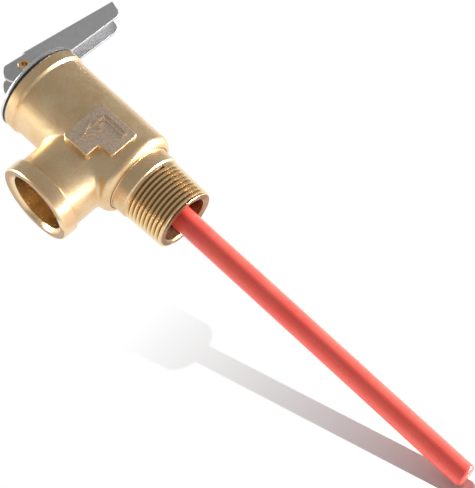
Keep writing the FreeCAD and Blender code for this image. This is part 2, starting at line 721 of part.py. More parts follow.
def make_test_lever():
    """Folded channel: two flanges with cam heels, joined by a web over the part past the stem."""
    body = new_body("test_lever")
    extruded(body, "block", flange_outline(body), "lever_width", middle=True)
    back, front = "0 - lever_reach", "lever_reach * 2"
    channel = outline(body, "channel_outline", "XZ_Plane", [
        (back, back),
        (front, back),
        (front, f"{lever_height(front)} - lever_sheet"),
        (back, f"{lever_height(back)} - lever_sheet"),
    ])
    extruded(body, "channel", channel, "lever_width - 2 * lever_sheet",
             kind="PartDesign::Pocket", middle=True)
    slit = outline(body, "slit_outline", "XZ_Plane", [
        (back, back),
        ("lever_web_start", back),
        ("lever_web_start", "lever_reach"),
        (back, "lever_reach"),
    ])
    opened = extruded(body, "slit", slit, "lever_width - 2 * lever_sheet",
                      kind="PartDesign::Pocket", middle=True)
    edge_side = value("lever_width") / 2

    def fold(edge):
        box = edge.BoundBox
        return (isinstance(edge.Curve, Part.Line) and box.YLength < 1e-4 and box.XLength > 20
                and abs(abs(box.YMax) - edge_side) < 1e-4 and box.ZMax > 0)

    eased(body, "fold", opened, fold, "lever_bend")
    hole = circle_sketch(body, "rivet_hole_circle", "XZ_Plane", "0", "0", "pin_radius")
    extruded(body, "rivet_hole", hole, "lever_width * 2", kind="PartDesign::Pocket", middle=True)
    return bind(body, Placement__Rotation__Angle="180 + lever_turn", Placement__Base__z="pin_axis")


def make_lever_pin():
    """Hollow rivet with a rolled head on each side."""
    body = new_body("lever_pin")
    half = "lever_width / 2"
    pin = turned(body, "rivet", [
        ("pin_bore", f"0 - {half} - pin_head_height"),
        ("pin_head", f"0 - {half} - pin_head_height"),
        ("pin_head", f"0 - {half}"),
        ("pin_radius", f"0 - {half}"),
        ("pin_radius", half),
        ("pin_head", half),
        ("pin_head", f"{half} + pin_head_height"),
        ("pin_bore", f"{half} + pin_head_height"),
    ])
    tip = value(f"{half} + pin_head_height")
    eased(body, "rolled_heads", pin,
          lambda edge: is_ring(edge, value("pin_head"), tip) or is_ring(edge, value("pin_head"), -tip),
          "pin_head_height * 0.7")
    turn = FreeCAD.Rotation(FreeCAD.Vector(0, 0, 1), value("lever_turn"))
    body.Placement.Rotation = turn * FreeCAD.Rotation(FreeCAD.Vector(1, 0, 0), 90)
    return bind(body, Placement__Base__z="pin_axis")


# Disc, holder and spring

def make_disc_holder():
    """Holder: a cup for the seat disc, four guide wings, and a hub with a socket for the stem's foot."""
    body = new_body("disc_holder")
    lip = "disc_face + holder_lip"
    turned(body, "cup", [
        ("screw_radius", "disc_top"),
        ("disc_radius", "disc_top"),
        ("disc_radius", lip),
        ("holder_radius", lip),
        ("holder_radius", "spring_foot"),
        ("holder_neck", "spring_foot"),
        ("holder_neck", "hub_top"),
        ("stem_socket", "hub_top"),
        ("stem_socket", "clip_low + clip_height"),
        ("clip_groove", "clip_low + clip_height"),
        ("clip_groove", "clip_low"),
        ("stem_socket", "clip_low"),
        ("stem_socket", "socket_floor"),
        ("0", "socket_floor"),
        ("0", "disc_top + screw_grip"),
        ("screw_radius", "disc_top + screw_grip"),
    ])
    wing_low = "spring_foot - wing_height"
    wing = extruded(body, "wing", outline(body, "wing_outline", "XY_Plane", [
        ("holder_radius - wing_root", "0 - wing_width / 2"),
        ("chamber_radius - wing_gap", "0 - wing_width / 2"),
        ("chamber_radius - wing_gap", "wing_width / 2"),
        ("holder_radius - wing_root", "wing_width / 2"),
    ], offset=wing_low), "wing_height")
    spun_copies(body, "wings", [wing], 4)
    return bind(body, Placement__Rotation__Angle="45")


def make_disc_screw():
    body = new_body("disc_screw")
    screw = turned(body, "turned_screw", [
        ("0", "0"),
        ("screw_head", "0"),
        ("screw_head", "screw_head_height"),
        ("screw_radius", "screw_head_height"),
        ("screw_radius", "screw_head_height + washer_height + disc_height + screw_grip"),
        ("0", "screw_head_height + washer_height + disc_height + screw_grip"),
    ])
    eased(body, "screw_edge", screw, lambda edge: is_ring(edge, value("screw_head"), 0), "screw_edge")
    slot = outline(body, "slot_outline", "XY_Plane", [
        ("0 - screw_head * 2", "0 - slot_width / 2"),
        ("screw_head * 2", "0 - slot_width / 2"),
        ("screw_head * 2", "slot_width / 2"),
        ("0 - screw_head * 2", "slot_width / 2"),
    ])
    extruded(body, "slot", slot, "screw_head_height / 2", kind="PartDesign::Pocket", reverse=True)
    return bind(body, Placement__Base__z="screw_face")


def make_load_spring():
    """Round wire spring with ground ends: a helix swept by a circle, cut off square at both ends."""
    length = "spring_top - (spring_foot)"
    helix = bind(doc.addObject("Part::Helix", "spring_path"), Radius="spring_radius",
                 Height=f"{length} + 2 * spring_wire", Pitch=f"({length} + 2 * spring_wire) / spring_turns")
    bind(helix, Placement__Base__z="0 - spring_wire")
    section = bind(doc.addObject("Part::Circle", "spring_section"), Radius="spring_wire")
    section.Placement.Rotation = FreeCAD.Rotation(FreeCAD.Vector(1, 0, 0), 90)
    bind(section, Placement__Base__x="spring_radius", Placement__Base__z="0 - spring_wire")
    wire = doc.addObject("Part::Sweep", "spring_wire_body")
    wire.Sections = [section]
    wire.Spine = (helix, [])
    wire.Solid = True
    wire.Frenet = True
    spring = doc.addObject("Part::Common", "load_spring")
    spring.Base = wire
    spring.Tool = cylinder("spring_space", "spring_radius + 3 * spring_wire", length)
    spring.Label = "load_spring"
    return bind(spring, Placement__Base__z="spring_foot")


# Thermostat

def make_probe_coating():
    body = new_body("probe_coating")
    sleeve = turned(body, "sleeve", [
        ("0", "0"),
        ("probe_radius", "0"),
        ("probe_radius", "probe_end - coating_top"),
        ("tube_radius", "probe_end - coating_top"),
        ("tube_radius", "coating_wall"),
        ("0", "coating_wall"),
    ])
    tip = eased(body, "rounded_tip", sleeve,
                lambda edge: is_ring(edge, value("probe_radius"), 0), "probe_round")
    eased(body, "inner_tip", tip, lambda edge: is_ring(edge, value("tube_radius"), value("coating_wall")),
          "probe_round - coating_wall")
    return bind(body, Placement__Base__z="0 - probe_end")


def make_thermostat_tube():
    body = new_body("thermostat_tube")
    low = "coating_wall"
    tube = turned(body, "drawn_tube", [
        ("0", low),
        ("tube_radius", low),
        ("tube_radius", "probe_end - head_step"),
        ("tube_bore", "probe_end - head_step"),
        ("tube_bore", f"{low} + tube_wall"),
        ("0", f"{low} + tube_wall"),
    ])
    eased(body, "tube_tip", tube, lambda edge: is_ring(edge, value("tube_radius"), value(low)),
          "probe_round - coating_wall")
    return bind(body, Placement__Base__z="0 - probe_end")


def make_wax_charge():
    base = "coating_wall + tube_wall - probe_end"
    wax = cylinder("wax_charge", "tube_bore", f"0 - head_step - seal_height - ({base})")
    return bind(wax, Placement__Base__z=base)


def make_piston_seal():
    seal = cylinder("piston_seal", "tube_bore", "seal_height")
    return bind(seal, Placement__Base__z="0 - head_step - seal_height")


def make_thermostat_head():
    """Head: a skirt over the tube, a flange that rests on the spider, and the push rod's guide."""
    body = new_body("thermostat_head")
    guide = "piston_radius + running_fit"
    hub = "head_radius - slip"
    turned(body, "turned_head", [
        (guide, "0 - head_step"),
        ("tube_radius", "0 - head_step"),
        ("tube_radius", "0 - head_skirt"),
        (hub, "0 - head_skirt"),
        (hub, "spider_stop"),
        ("flange_radius", "spider_stop"),
        ("flange_radius", "flange_top"),
        (guide, "flange_top"),
    ])
    return body


def make_thermostat_piston():
    """Push rod, from the rubber plug up to a little below the disc screw."""
    body = new_body("thermostat_piston")
    top = "screw_face - piston_gap"
    turned(body, "turned_rod", [
        ("0", "0 - head_step"),
        ("piston_radius", "0 - head_step"),
        ("piston_radius", f"{top} - piston_nose"),
        ("piston_radius - piston_nose", top),
        ("0", top),
    ])
    return body


def make_thermostat_spider():
    """Three legs between a rim that seats in the inlet bore and a hub round the thermostat head."""
    body = new_body("thermostat_spider")
    outer = "inlet_bore - slip"
    turned(body, "rim", [
        (f"{outer} - spider_rim", "0"),
        (outer, "0"),
        (outer, "spider_height"),
        (f"{outer} - spider_rim", "spider_height"),
    ])
    leg = extruded(body, "leg", outline(body, "leg_outline", "XY_Plane", [
        ("head_radius + leg_root", "0 - spider_leg / 2"),
        (f"{outer} - spider_rim / 2", "0 - spider_leg / 2"),
        (f"{outer} - spider_rim / 2", "spider_leg / 2"),
        ("head_radius + leg_root", "spider_leg / 2"),
    ]), "spider_height")
    spun_copies(body, "legs", [leg], 3)
    turned(body, "hub", [
        ("head_radius", "0"),
        ("spider_hub", "0"),
        ("spider_hub", "spider_height"),
        ("head_radius", "spider_height"),
    ])
    return bind(body, Placement__Base__z="spider_low", Placement__Rotation__Angle="90")



pieces = [
    make_valve_body(),
    washer("cap_gasket", "rim_radius - gasket_inset", "top_thread_radius", "gasket_height", "body_height"),
    make_cap_plate(),
    make_adjusting_plug(),
    make_stem_seal(),
    make_stem(),
    make_test_lever(),
    make_lever_pin(),
    make_disc_holder(),
    washer("seat_disc", "disc_radius", "screw_radius", "disc_height", "disc_face"),
    washer("disc_washer", "washer_radius", "screw_radius", "washer_height", "disc_face - washer_height"),
    make_disc_screw(),
    spring_ring("stem_clip", "clip_groove", "stem_radius + clip_gap", "clip_height", "clip_low"),
    make_load_spring(),
    washer("upper_spring_seat", "spring_seat_radius", "stem_radius + clip_gap",
           "spring_seat_height", "spring_top"),
    make_probe_coating(),
    make_thermostat_tube(),
    make_wax_charge(),
    make_piston_seal(),
    make_thermostat_head(),
    make_thermostat_piston(),
    make_thermostat_spider(),
    spring_ring("spider_ring", "ring_groove", "ring_groove - ring_width", "ring_height", "ring_low"),
]

doc.recompute()
for item in doc.Objects:
    if "Invalid" in item.State or "Error" in item.State:
        raise RuntimeError(f"{item.Name} failed: {item.State}")
for piece in pieces:
    shape = piece.Shape
    if shape.isNull() or not shape.isValid():
        raise RuntimeError(f"{piece.Label} has no valid shape")
    print(f"{piece.Label:20s} {len(shape.Solids)} solid {len(shape.Faces):4d} faces {shape.Volume:9.1f} mm3")
os.makedirs("parts", exist_ok=True)
for piece in pieces:
    piece.Shape.exportStep(f"parts/{piece.Label}.step")
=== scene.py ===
"""Finish of the temperature and pressure relief valve: skins, materials, stage and camera."""
import json
import math

import bmesh
import bpy
from bpy.props import FloatProperty, FloatVectorProperty, IntProperty, PointerProperty
from mathutils import Matrix, Vector


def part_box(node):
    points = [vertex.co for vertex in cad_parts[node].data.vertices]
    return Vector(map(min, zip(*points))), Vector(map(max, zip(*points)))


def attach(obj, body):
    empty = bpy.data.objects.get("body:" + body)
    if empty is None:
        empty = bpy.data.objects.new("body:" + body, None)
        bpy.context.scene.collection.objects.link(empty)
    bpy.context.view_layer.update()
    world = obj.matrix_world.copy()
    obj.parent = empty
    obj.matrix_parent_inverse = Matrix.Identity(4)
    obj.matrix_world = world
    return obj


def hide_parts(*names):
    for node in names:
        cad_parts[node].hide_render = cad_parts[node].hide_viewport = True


bl_info = {
    "name": "Relief valve finish",
    "version": (1, 0, 0),
    "blender": (4, 5, 0),
    "location": "View3D > Sidebar > Valve",
    "description": "Builds the visible pieces, materials and studio of a relief valve",
    "category": "Object",
}

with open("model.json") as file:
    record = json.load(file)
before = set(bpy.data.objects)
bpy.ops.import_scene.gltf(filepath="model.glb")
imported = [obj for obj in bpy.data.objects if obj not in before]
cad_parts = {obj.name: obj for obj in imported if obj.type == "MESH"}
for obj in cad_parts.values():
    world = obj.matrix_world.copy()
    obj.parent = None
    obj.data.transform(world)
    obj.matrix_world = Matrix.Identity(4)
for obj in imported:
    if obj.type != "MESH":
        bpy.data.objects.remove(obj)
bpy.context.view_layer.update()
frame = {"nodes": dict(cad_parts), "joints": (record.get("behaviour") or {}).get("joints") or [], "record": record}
RECORD = frame["record"]
MOUNTS = {mount["name"]: mount for mount in RECORD["mounts"]}
JOINTS = {joint["name"]: joint for joint in frame["joints"]}

MM = 0.001
OUTLET_HEIGHT = MOUNTS["outlet_thread"]["pos_m"][2]
OUTLET_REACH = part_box("valve_body")[1].x
INLET_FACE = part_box("valve_body")[0].z
PLATE_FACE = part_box("valve_body")[1].y
PLATE_TOP = 32 * MM
PORT_START = 21.5 * MM
PORT_MOUTH = 13.5 * MM
COLLAR_FOOT = OUTLET_REACH - 6.55 * MM
CHAMBER_RADIUS = 15 * MM
INLET_BORE = 9.65 * MM
PIPE_RADIUS = MOUNTS["inlet_thread"]["dims"]["r_mm"] * MM
THREAD_SLOPE = 1 / 32
PROBE_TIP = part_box("probe_coating")[0].z
PIN_AXIS = Vector(JOINTS["lever_tilt"]["pos_m"])

# The camera, in the frame's own metres: where it stands and its right and up directions
CAMERA_PLACE = Vector((0.2293, 0.6147, -0.2259))
CAMERA_RIGHT = Vector((-0.7001, 0.0506, -0.7121))
CAMERA_UP = Vector((-0.6250, 0.4382, 0.6457))
CAMERA_BACK = CAMERA_RIGHT.cross(CAMERA_UP).normalized()


# Node trees

def feed(tree, socket, value):
    """Give an input socket a constant or another node's output."""
    if isinstance(value, bpy.types.NodeSocket):
        tree.links.new(value, socket)
    else:
        socket.default_value = value


def add(tree, kind, inputs=None, **settings):
    """One shader node with its settings and inputs."""
    node = tree.nodes.new(kind)
    for name, value in settings.items():
        setattr(node, name, value)
    for name, value in (inputs or {}).items():
        feed(tree, node.inputs[name], value)
    return node


def ramp(tree, factor, stops, interpolation="EASE"):
    """A colour ramp; each stop is a place from 0 to 1 and a colour."""
    node = add(tree, "ShaderNodeValToRGB", {"Fac": factor})
    node.color_ramp.interpolation = interpolation
    elements = node.color_ramp.elements
    while len(elements) < len(stops):
        elements.new(0.5)
    for element, (place, colour) in zip(elements, stops):
        element.position = place
        element.color = (*colour, 1.0) if len(colour) == 3 else colour
    return node.outputs["Color"]


def sum_of(tree, first, second, operation="ADD"):
    return add(tree, "ShaderNodeMath", {0: first, 1: second}, operation=operation).outputs[0]


def in_range(tree, value, low, high, to_low=0.0, to_high=1.0):
    """The value mapped from low..high to to_low..to_high and held there."""
    return add(tree, "ShaderNodeMapRange", {
        "Value": value, "From Min": low, "From Max": high, "To Min": to_low, "To Max": to_high,
    }).outputs["Result"]


def mixed(tree, factor, first, second, blend="MIX"):
    node = add(tree, "ShaderNodeMix", data_type="RGBA", blend_type=blend)
    for name, value in (("Factor_Float", factor), ("A_Color", first), ("B_Color", second)):
        socket = next(item for item in node.inputs if item.identifier == name)
        plain = isinstance(value, (float, bpy.types.NodeSocket))
        feed(tree, socket, value if plain else (*value, 1.0))
    return next(item for item in node.outputs if item.identifier == "Result_Color")


def millimetres(tree, centre=(0, 0, 0), turn=(0, 0, 0)):
    """The surface's place in millimetres, seen from a centre."""
    place = add(tree, "ShaderNodeTexCoord").outputs["Object"]
    return add(tree, "ShaderNodeMapping", {
        "Vector": place,
        "Location": Vector(centre) * -1000,
        "Rotation": turn,
        "Scale": (1000, 1000, 1000),
    }, vector_type="POINT").outputs["Vector"]


def distance_from_axis(tree, place, axis):
    """How far a place lies from the X, Y or Z axis."""
    keep = [0.0 if letter == axis else 1.0 for letter in "XYZ"]
    flat = add(tree, "ShaderNodeVectorMath", {0: place, 1: keep}, operation="MULTIPLY").outputs[0]
    return add(tree, "ShaderNodeVectorMath", {0: flat}, operation="LENGTH").outputs["Value"]


def noise(tree, place, scale, detail=3.0, roughness=0.5):
    return add(tree, "ShaderNodeTexNoise", {
        "Vector": place, "Scale": scale, "Detail": detail, "Roughness": roughness,
    }).outputs["Fac"]


def mottled(tree, scale, to_low=0.0, to_high=1.0, contrast=(0.3, 0.7)):
    """Noise on the surface, stretched between two values."""
    return in_range(tree, noise(tree, millimetres(tree), scale), *contrast, to_low, to_high)


def bumped(tree, height, distance, normal=None):
    """A bump whose full height is distance millimetres."""
    inputs = {"Height": height, "Distance": distance * MM}
    if normal:
        inputs["Normal"] = normal
    return add(tree, "ShaderNodeBump", inputs).outputs["Normal"]


def new_material(name, colour, roughness, normal, metallic=0.0, constants=None):
    """A principled material; colour, roughness and normal each build their part of its tree."""
    material = bpy.data.materials.new(name)
    material.use_nodes = True
    tree = material.node_tree
    tree.nodes.clear()
    shader = add(tree, "ShaderNodeBsdfPrincipled")
    output = add(tree, "ShaderNodeOutputMaterial", {"Surface": shader.outputs["BSDF"]})
    output.is_active_output = True
    finish = {"Base Color": colour(tree), "Roughness": roughness(tree), "Normal": normal(tree),
              "Metallic": metallic, **(constants or {})}
    for socket, value in finish.items():
        feed(tree, shader.inputs[socket], value)
    return material


# Materials

def brass_colour(tree, pale, deep, scale):
    """Slow drift between two brass tones."""
    return mixed(tree, mottled(tree, scale, contrast=(0.35, 0.65)), pale, deep)


def cast_brass(settings):
    """Shot-blasted casting: pale brass with a fine pitted grain, deeper on the flow plate."""
    def colour(tree):
        grain = in_range(tree, noise(tree, millimetres(tree), 2.6, 2.0), 0.35, 0.65)
        base = brass_colour(tree, settings.cast_pale, settings.cast_deep, 0.12)
        pits = mixed(tree, grain, settings.pit_colour, (1, 1, 1))
        return mixed(tree, settings.pit_depth, base, pits, "MULTIPLY")

    def roughness(tree):
        return mottled(tree, 1.4, 0.30, 0.40)

    def normal(tree):
        place = millimetres(tree)
        fine = bumped(tree, noise(tree, place, 2.2, 2.0, 0.6), 0.045)
        return bumped(tree, noise(tree, place, 0.45, 2.0), 0.06, normal=fine)

    return new_material("cast_brass_blasted", colour, roughness, normal, metallic=1.0)


def plate_brass(settings):
    """The flow plate's face: a coarser leathery grain with a pinker tone."""
    def colour(tree):
        grain = in_range(tree, noise(tree, millimetres(tree), 1.9, 2.0, 0.6), 0.36, 0.62)
        return mixed(tree, grain, settings.plate_deep, settings.plate_pale)

    def roughness(tree):
        return in_range(tree, noise(tree, millimetres(tree), 1.9, 2.0, 0.6), 0.3, 0.7, 0.52, 0.40)

    def normal(tree):
        return bumped(tree, noise(tree, millimetres(tree), 1.9, 2.0, 0.6), 0.14)

    return new_material("cast_brass_plate", colour, roughness, normal, metallic=1.0)


def turned_brass(name, centre, axis, pitch, pale, deep):
    """Machined brass with fine tool marks round an axis."""
    def rings(tree):
        place = millimetres(tree, centre)
        along = add(tree, "ShaderNodeSeparateXYZ", {"Vector": place}).outputs[axis]
        reach = distance_from_axis(tree, place, axis)
        both = sum_of(tree, along, reach)
        wave = sum_of(tree, sum_of(tree, both, 2 * math.pi / pitch, "MULTIPLY"), 0.0, "SINE")
        return sum_of(tree, wave, noise(tree, place, 0.8), "ADD")

    def colour(tree):
        return brass_colour(tree, pale, deep, 0.16)

    def roughness(tree):
        return in_range(tree, rings(tree), -1.0, 2.0, 0.20, 0.32)

    def normal(tree):
        return bumped(tree, rings(tree), 0.006)

    return new_material(name, colour, roughness, normal, metallic=1.0)


def thread_brass(name, centre, axis, crest, slope, depth, pale, deep):
    """Cut thread: pale flanks and crests, with painted shade darkening the tone into the root."""
    def colour(tree):
        place = millimetres(tree, centre)
        along = add(tree, "ShaderNodeSeparateXYZ", {"Vector": place}).outputs[axis]
        taper = sum_of(tree, sum_of(tree, along, slope, "MULTIPLY"), crest, "ADD")
        reach = distance_from_axis(tree, place, axis)
        # Painted shade: the colour darkens towards the root colour the deeper the surface lies below the crest.
        into = in_range(tree, sum_of(tree, taper, reach, "SUBTRACT"), 0.0, depth)
        tone = brass_colour(tree, pale, pale, 0.2)
        return mixed(tree, ramp(tree, into, [(0.25, (0, 0, 0)), (0.95, (1, 1, 1))]), tone, deep)

    def roughness(tree):
        return mottled(tree, 1.1, 0.18, 0.30)

    def normal(tree):
        return bumped(tree, noise(tree, millimetres(tree), 3.0), 0.01)

    return new_material(name, colour, roughness, normal, metallic=1.0)


def bore_painted_shade(settings):
    """Inside of the casting: darker and redder than the outside, as painted shade with a painted red reflection of
    the probe.
    """
    def colour(tree):
        return brass_colour(tree, settings.bore_shade_pale, settings.bore_shade_deep, 0.25)

    def roughness(tree):
        return mottled(tree, 1.2, 0.35, 0.55)

    def normal(tree):
        return bumped(tree, noise(tree, millimetres(tree), 1.5), 0.03)

    return new_material("bore_painted_shade", colour, roughness, normal, metallic=1.0)


def rolled_steel(settings):
    """Stainless sheet: satin, with faint rolling lines along the lever."""
    def lines(tree):
        place = millimetres(tree)
        stretched = add(tree, "ShaderNodeVectorMath", {0: place, 1: (0.12, 3.0, 3.0)},
                        operation="MULTIPLY").outputs[0]
        return noise(tree, stretched, 1.6, 4.0)

    def colour(tree):
        return mixed(tree, in_range(tree, lines(tree), 0.3, 0.7), settings.steel_deep, settings.steel_pale)

    def roughness(tree):
        return in_range(tree, lines(tree), 0.3, 0.7, 0.36, 0.46)

    def normal(tree):
        return bumped(tree, lines(tree), 0.008)

    return new_material("satin_steel", colour, roughness, normal, metallic=1.0)


def polished_steel(settings):
    """Pressed cap: brighter steel with ring marks from the press."""
    def rings(tree):
        reach = distance_from_axis(tree, millimetres(tree), "Z")
        wave = sum_of(tree, sum_of(tree, reach, 9.0, "MULTIPLY"), 0.0, "SINE")
        return sum_of(tree, wave, noise(tree, millimetres(tree), 0.6), "ADD")

    def colour(tree):
        return mixed(tree, mottled(tree, 0.3),
                     settings.steel_pale, settings.cap_pale)

    def roughness(tree):
        return in_range(tree, rings(tree), -1.0, 2.0, 0.16, 0.26)

    def normal(tree):
        return bumped(tree, rings(tree), 0.004)

    return new_material("polished_steel", colour, roughness, normal, metallic=1.0)


def wire_steel():
    def colour(tree):
        return mixed(tree, mottled(tree, 0.7),
                     (0.42, 0.40, 0.38), (0.56, 0.55, 0.54))

    def roughness(tree):
        return mottled(tree, 2.0, 0.25, 0.38)

    def normal(tree):
        return bumped(tree, noise(tree, millimetres(tree), 3.0), 0.008)

    return new_material("drawn_wire", colour, roughness, normal, metallic=1.0)


def red_plastic(settings):
    """Moulded red sleeve: smooth plastic with a slight waviness along its length."""
    def colour(tree):
        return mixed(tree, mottled(tree, 0.08, contrast=(0.35, 0.65)),
                     settings.probe_colour, settings.probe_deep)

    def roughness(tree):
        return mottled(tree, 0.5, 0.26, 0.33)

    def normal(tree):
        return bumped(tree, noise(tree, millimetres(tree), 0.12, 1.0), 0.05)

    return new_material("red_sleeve", colour, roughness, normal,
                        constants={"IOR": 1.46, "Coat Weight": 0.3, "Coat Roughness": 0.2})


def soft_rubber(name, pale, deep, rough):
    def colour(tree):
        return mixed(tree, mottled(tree, 0.6), pale, deep)

    def roughness(tree):
        return mottled(tree, 1.5, rough - 0.08, rough + 0.08)

    def normal(tree):
        return bumped(tree, noise(tree, millimetres(tree), 2.5), 0.02)

    return new_material(name, colour, roughness, normal)


# Meshes

def merged_copy(node, name):
    """A copy of a CAD node as one closed mesh, with its triangles joined and flat areas made single faces."""
    mesh = bpy.data.meshes.new(name)
    shape = bmesh.new()
    shape.from_mesh(frame["nodes"][node].data)
    bmesh.ops.remove_doubles(shape, verts=shape.verts, dist=0.001 * MM)
    bmesh.ops.dissolve_limit(shape, angle_limit=math.radians(0.2), verts=shape.verts, edges=shape.edges,
                             delimit={"MATERIAL"})
    shape.to_mesh(mesh)
    shape.free()
    custom = mesh.attributes.get("custom_normal")
    if custom:
        mesh.attributes.remove(custom)
    piece = bpy.data.objects.new(name, mesh)
    bpy.context.scene.collection.objects.link(piece)
    return piece


def soften_edges(piece, width, segments=2, angle=32, spared=()):
    """A small round on every edge past an angle, but only a crease beside the spared finishes."""
    shape = bmesh.new()
    shape.from_mesh(piece.data)
    weight = shape.edges.layers.float.new("bevel_weight_edge")
    for edge in shape.edges:
        crisp = len(edge.link_faces) == 2 and edge.calc_face_angle() > math.radians(angle)
        rounded = crisp and not any(face.material_index in spared for face in edge.link_faces)
        edge[weight] = float(rounded)
        edge.smooth = rounded or not crisp
    for face in shape.faces:
        face.smooth = True
    shape.to_mesh(piece.data)
    shape.free()
    bevel = piece.modifiers.new("edge_round", "BEVEL")
    bevel.width = width * MM
    bevel.segments = segments
    bevel.limit_method = "WEIGHT"
    bevel.use_clamp_overlap = True
    bevel.harden_normals = True


def set_material(piece, *materials):
    piece.data.materials.clear()
    for material in materials:
        piece.data.materials.append(material)


def place_piece(piece, body, slot, *nodes):
    """Let a finished piece ride a body and stand for its CAD nodes; the slot is not used."""
    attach(piece, body)
    if nodes:
        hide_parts(*nodes)
    return piece


def paint_node(node, material):
    set_material(frame["nodes"][node], material)


# Sizes and colours that a user would change

class BodySettings(bpy.types.PropertyGroup):
    cast_pale: FloatVectorProperty(name="Casting, pale", description="Pale tone of the casting",
                                   subtype="COLOR", default=(0.90, 0.69, 0.43))
    cast_deep: FloatVectorProperty(name="Casting, deep", description="Deep tone of the blasted casting",
                                   subtype="COLOR", default=(0.82, 0.58, 0.32))
    pit_colour: FloatVectorProperty(name="Pits", description="Tone of the blasting pits",
                                    subtype="COLOR", default=(0.80, 0.72, 0.62))
    pit_depth: FloatProperty(name="Pit strength", description="How much the pits darken the casting",
                             subtype="FACTOR", min=0, max=1, default=0.5)
    plate_pale: FloatVectorProperty(name="Plate, pale", description="Pale tone of the flow plate",
                                    subtype="COLOR", default=(0.88, 0.70, 0.54))
    plate_deep: FloatVectorProperty(name="Plate, deep", description="Deep tone of the flow plate",
                                    subtype="COLOR", default=(0.66, 0.48, 0.35))
    turned_pale: FloatVectorProperty(name="Machined, pale", description="Pale tone of machined brass",
                                     subtype="COLOR", default=(0.90, 0.70, 0.42))
    turned_deep: FloatVectorProperty(name="Machined, deep", description="Deep tone of machined brass",
                                     subtype="COLOR", default=(0.86, 0.58, 0.33))
    # Painted shade: the colour that thread grooves darken to.
    root_shade_colour: FloatVectorProperty(name="Thread root", description="Tone in a thread's grooves",
                                     subtype="COLOR", default=(0.45, 0.27, 0.12))
    # Painted shade: the water ways' dark, reddish tones stand in for shade and the probe's red reflection.
    bore_shade_pale: FloatVectorProperty(name="Bore, pale", description="Pale tone inside the water ways",
                                   subtype="COLOR", default=(0.40, 0.22, 0.12))
    bore_shade_deep: FloatVectorProperty(name="Bore, deep", description="Deep tone inside the water ways",
                                   subtype="COLOR", default=(0.24, 0.11, 0.06))
    edge_round: FloatProperty(name="Edge round", description="Round on the casting's edges, millimetres",
                              min=0.02, max=0.4, default=0.12)


class SteelSettings(bpy.types.PropertyGroup):
    steel_pale: FloatVectorProperty(name="Steel, pale", description="Pale tone of the steel sheet",
                                    subtype="COLOR", default=(0.66, 0.66, 0.67))
    steel_deep: FloatVectorProperty(name="Steel, deep", description="Deep tone of the steel sheet",
                                    subtype="COLOR", default=(0.56, 0.56, 0.57))
    cap_pale: FloatVectorProperty(name="Cap", description="Tone of the pressed cap",
                                  subtype="COLOR", default=(0.86, 0.86, 0.87))
    edge_round: FloatProperty(name="Edge round", description="Round on the sheet's edges, millimetres",
                              min=0.02, max=0.5, default=0.18)


class ProbeSettings(bpy.types.PropertyGroup):
    probe_colour: FloatVectorProperty(name="Sleeve", description="Main colour of the probe's sleeve",
                                      subtype="COLOR", default=(1.0, 0.14, 0.10))
    probe_deep: FloatVectorProperty(name="Sleeve, deep", description="Deep tone of the sleeve",
                                    subtype="COLOR", default=(1.0, 0.11, 0.085))


class StageSettings(bpy.types.PropertyGroup):
    lens: FloatProperty(name="Lens", description="Focal length of the camera, millimetres", default=139.5)
    floor_tilt: FloatProperty(name="Floor tilt", description="Angle between the floor and the line of sight",
                              subtype="ANGLE", default=math.radians(42))
    floor_reach: FloatProperty(name="Floor reach", description="Radius of the floor",
                               subtype="DISTANCE", unit="LENGTH", default=1.6)
    floor_sides: IntProperty(name="Floor sides", description="Corners of the round floor", default=96)
    glow_reach: FloatProperty(name="Glow reach", description="Where the lit floor hides the shadow",
                              subtype="DISTANCE", default=0.14)


# Operators

class VALVE_OT_casting(bpy.types.Operator):
    """Brass casting with its threads, collar, plate and bores"""
    bl_idname = "valve.casting"
    bl_label = "Casting"

    def execute(self, context):
        settings = context.scene.valve_body_settings
        outlet = (0, 0, OUTLET_HEIGHT)
        pipe = PIPE_RADIUS / MM
        piece = merged_copy("valve_body", "brass_casting")
        set_material(
            piece,
            cast_brass(settings),
            plate_brass(settings),
            turned_brass("turned_collar", outlet, "X", 0.35, settings.turned_pale, settings.turned_deep),
            thread_brass("inlet_thread_brass", (0, 0, 0), "Z", pipe, THREAD_SLOPE, 1.2,
                         settings.turned_pale, settings.root_shade_colour),
            bore_painted_shade(settings),
            thread_brass("outlet_thread_brass", outlet, "X", 11.0, 0.03, -2.0,
                         settings.turned_pale, settings.root_shade_colour),
        )
        for face in piece.data.polygons:
            face.material_index = casting_finish(face)
        soften_edges(piece, settings.edge_round, spared=(3, 5))
        place_piece(piece, "root", "cast_brass", "valve_body")
        return {"FINISHED"}


def casting_finish(face):
    """Index of a face's finish: 0 cast, 1 plate, 2 collar, 3 inlet thread, 4 bore, 5 outlet thread."""
    spot = face.center
    reach = math.hypot(spot.x, spot.y)
    out = math.hypot(spot.y, spot.z - OUTLET_HEIGHT)
    if spot.x > PORT_START and out < PORT_MOUTH + 0.1 * MM:
        return 5
    if spot.x > COLLAR_FOOT - 0.02 * MM and out > PORT_MOUTH - 0.1 * MM:
        return 2
    if spot.z < -0.5 * MM and reach > INLET_BORE + 0.45 * MM:
        return 3
    if spot.y > PLATE_FACE - 0.45 * MM and face.normal.y > 0.9 and spot.z < PLATE_TOP:
        return 1
    if spot.z < INLET_FACE + 0.6 * MM and reach > INLET_BORE + 0.05 * MM:
        return 3
    inward = face.normal.x * spot.x + face.normal.y * spot.y <= 0.2 * reach
    within = spot.z > 3 * MM or reach < INLET_BORE + 0.75 * MM
    if reach < CHAMBER_RADIUS and inward and spot.y < PLATE_FACE - 3 * MM and within:
        return 4
    return 0


